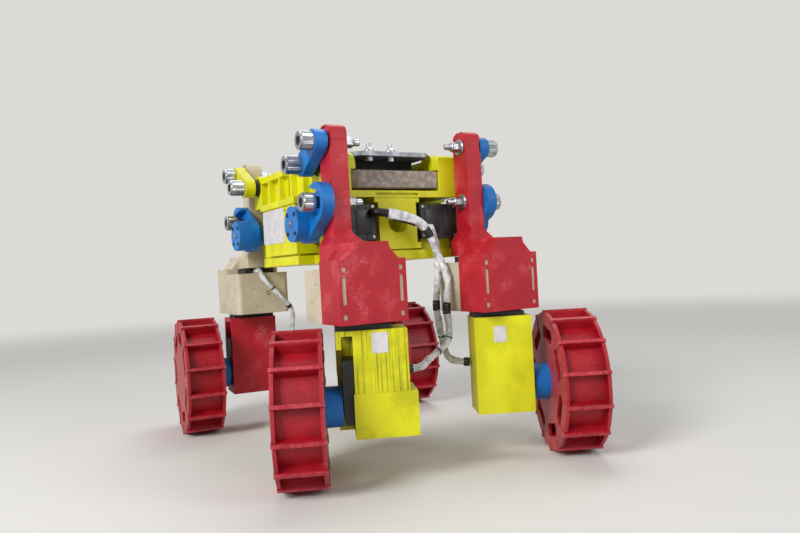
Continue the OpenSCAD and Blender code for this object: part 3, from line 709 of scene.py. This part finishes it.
def make_stud_tips():
    """Rounded tips and washers on the top plate's studs."""
    top = Vector(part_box("plate_bolts")[1]).z / MM
    tips = []
    for sy in (-1, 1):
        for x in (0, STUD_GAP):
            for z, radius, sides, edge in ((top + 0.2, 1.9, 20, 0.5), (top - 6, 4.6, 28, 0.3)):
                place = at(sy * x, sy * STUD_Y, z)
                tips.append(screw(place, (0, 0, 0), radius * MM, 1.6 * MM, 0, sides, edge))
    settle(join(tips), "stud_tips", STEEL, "chassis")


make_stud_tips()


# ---- servos and covers ----


def make_servo_details():
    """Panels and corner screws on the outer ends of the lift servos."""
    panels, screws = [], []
    for sx, sy, _ in LEGS.values():
        face = sy * SERVO_END
        x0, x1 = (sx * x for x in SERVO_SPAN)
        middle = (x0 + x1) / 2
        outer = sorted((face + sy * 0.7, face - sy * 0.5))
        for cx, w, h in ((middle - sx * 8, 15, 22), (middle + sx * 11, 11, 26)):
            low, high = at(cx - w / 2, outer[0], LIFT_Z - h / 2), at(cx + w / 2, outer[1], LIFT_Z + h / 2)
            panels.append(block(low, high, 0.5 * MM))
        for x in (x0 + sx * SERVO_SCREW_IN, x1 - sx * SERVO_SCREW_IN):
            for z in (LIFT_Z - SERVO_SCREW_Z, LIFT_Z + SERVO_SCREW_Z):
                screws.append(screw(at(x, face + sy * 0.2, z), along_y(sy), 1.5 * MM, 1.0 * MM))
    settle(join(panels), "servo_panels", BLACK, "chassis")
    settle(join(screws), "servo_screws", STEEL, "chassis")


make_servo_details()


def make_cover_holes():
    """Screw holes in the cream covers: bores coloured in painted shade, each with its rim."""
    bores = []
    for sx, sy, _ in LEGS.values():
        face = sy * (STEER_Y - COVER_IN)
        for x, z, radius in ((61.5, 151, 2.1), (61.5, 162, 0.8), (51, 151.7, 0.8), (78, 157, 0.8), (74, 137, 0.8)):
            place = at(sx * x, face - sy * 0.02, z)
            bores.append(screw(place, along_y(-sy), radius * MM, 0.3 * MM, 0.7, 20, 0.1))
        for y, z in ((112, 146), (121, 161)):
            for side in (-1, 1):
                place = at(sx * (STEER_X + side * COVER_HALF), sy * y, z)
                bores.append(screw(place, along_x(sx * side), 0.8 * MM, 0.3 * MM, 0.7, 20, 0.1))
    settle(join(bores), "cover_bores", BORE_PAINTED_SHADE, "chassis")


make_cover_holes()


# ---- blank labels ----


def label(name, body, corner_places, corner):
    """A blank paper label stuck on a flat face, given by its four corners in order and their rounding."""
    bpy.ops.mesh.primitive_plane_add(size=1)
    thing = bpy.context.object
    order = [corner_places[i] for i in (0, 1, 3, 2)]
    for vertex, place in zip(thing.data.vertices, order):
        vertex.co = place
    bpy.ops.object.mode_set(mode="EDIT")
    bpy.ops.mesh.select_all(action="SELECT")
    bpy.ops.mesh.bevel(offset=corner * MM, segments=4, affect="VERTICES")
    bpy.ops.object.mode_set(mode="OBJECT")
    shell = thing.modifiers.new("paper", "SOLIDIFY")
    shell.thickness = 0.25 * MM
    shell.offset = 1
    bpy.ops.object.modifier_apply(modifier="paper")
    settle(thing, name, PAPER, body)


def make_labels():
    """Blank patches on the right motor housings, on the electronics box and, a round one, on the deck's rail."""
    for leg, along, z, w, h in (("rear_right", -12, 114, 13, 16), ("front_right", -1, 109, 11, 14)):
        half = math.copysign(w / 2, LEGS[leg][0])
        corners = ((-half, -h / 2), (half, -h / 2), (half, h / 2), (-half, h / 2))
        places = [at_wheel(leg, along + a, HOUSING_FACE, z + b) for a, b in corners]
        label("blank_label_" + leg, "steered_" + leg, places, 0.6)
    corners = ((45, 201), (-15, 201), (-15, 234), (45, 234))
    label("blank_label_side", "chassis", [at(BOX_SIDE, y, z) for y, z in corners], 1)
    bpy.ops.mesh.primitive_circle_add(vertices=40, radius=6.5 * MM, fill_type="NGON",
                                      location=at(RAIL_SIDE, 28, 254), rotation=(0, math.radians(-90), 0))
    disc = bpy.context.object
    bpy.ops.object.mode_set(mode="EDIT")
    bpy.ops.mesh.select_all(action="SELECT")
    bpy.ops.mesh.extrude_region_move(TRANSFORM_OT_translate={"value": (-0.3 * MM, 0, 0)})
    bpy.ops.mesh.inset(thickness=1.2 * MM, depth=0.1 * MM)
    bpy.ops.object.mode_set(mode="OBJECT")
    settle(disc, "blank_label_round", PAPER, "chassis")


make_labels()


# ---- floor and light ----

BACKDROP = "#dcdad6"


def stage_material():
    """Pale matt floor that fades into the plain backdrop away from the object."""
    made, tree, shader, place = start_material("pale_floor")
    shader.inputs["Base Color"].default_value = srgb(BACKDROP)
    shader.inputs["Roughness"].default_value = 0.9
    out = tree.nodes["Material Output"]
    far = add(tree, "VectorMath", {0: place}, operation="LENGTH").outputs["Value"]
    glow = add(tree, "Emission", {"Color": srgb(BACKDROP), "Strength": 1.0}).outputs[0]
    ray = add(tree, "LightPath").outputs["Is Camera Ray"]
    fade = product(tree, ramp(tree, far, 0.9, 2.6), ray)
    blend = add(tree, "MixShader", {0: fade, 1: shader.outputs[0], 2: glow})
    tree.links.new(blend.outputs[0], out.inputs["Surface"])
    return made


def make_stage():
    """The floor, and a world whose plain backdrop is seen and mirrored but lights the object less."""
    bpy.ops.mesh.primitive_circle_add(vertices=96, radius=12, fill_type="NGON", location=(0, 0, -0.0002))
    floor = bpy.context.object
    floor.name = "floor"
    dress(floor, stage_material())
    world = bpy.data.worlds.new("studio")
    bpy.context.scene.world = world
    world.use_nodes = True
    tree = world.node_tree
    ray = add(tree, "LightPath").outputs
    seen = add(tree, "Background", {"Color": srgb(BACKDROP), "Strength": 1.0}).outputs[0]
    lit = add(tree, "Background", {"Color": srgb("#e9edf2"), "Strength": 0.3}).outputs[0]
    shown = add(tree, "Math", {0: ray["Is Camera Ray"], 1: ray["Is Glossy Ray"]}, operation="MAXIMUM").outputs[0]
    both = add(tree, "MixShader", {0: shown, 1: lit, 2: seen})
    tree.links.new(both.outputs[0], tree.nodes["World Output"].inputs["Surface"])


def soft_lamp(name, place, target, size, watts):
    """A square white lamp, aimed at a point."""
    data = bpy.data.lights.new(name, "AREA")
    data.shape = "RECTANGLE"
    data.size = size
    data.size_y = size
    data.energy = watts
    lamp = bpy.data.objects.new(name, data)
    bpy.context.scene.collection.objects.link(lamp)
    aim = (Vector(target) - Vector(place)).to_track_quat("-Z", "Y")
    lamp.matrix_world = Matrix.Translation(place) @ aim.to_matrix().to_4x4()


make_stage()
soft_lamp("key", (-1.75, -0.75, 1.15), (0, 0, 0.12), 0.8, 40)
soft_lamp("front", (0.7, -1.6, 0.9), (0, 0, 0.12), 0.7, 8)
soft_lamp("top", (0.5, 0.5, 1.8), (0, 0, 0.1), 1.0, 12)
bpy.context.scene.view_settings.view_transform = "Standard"
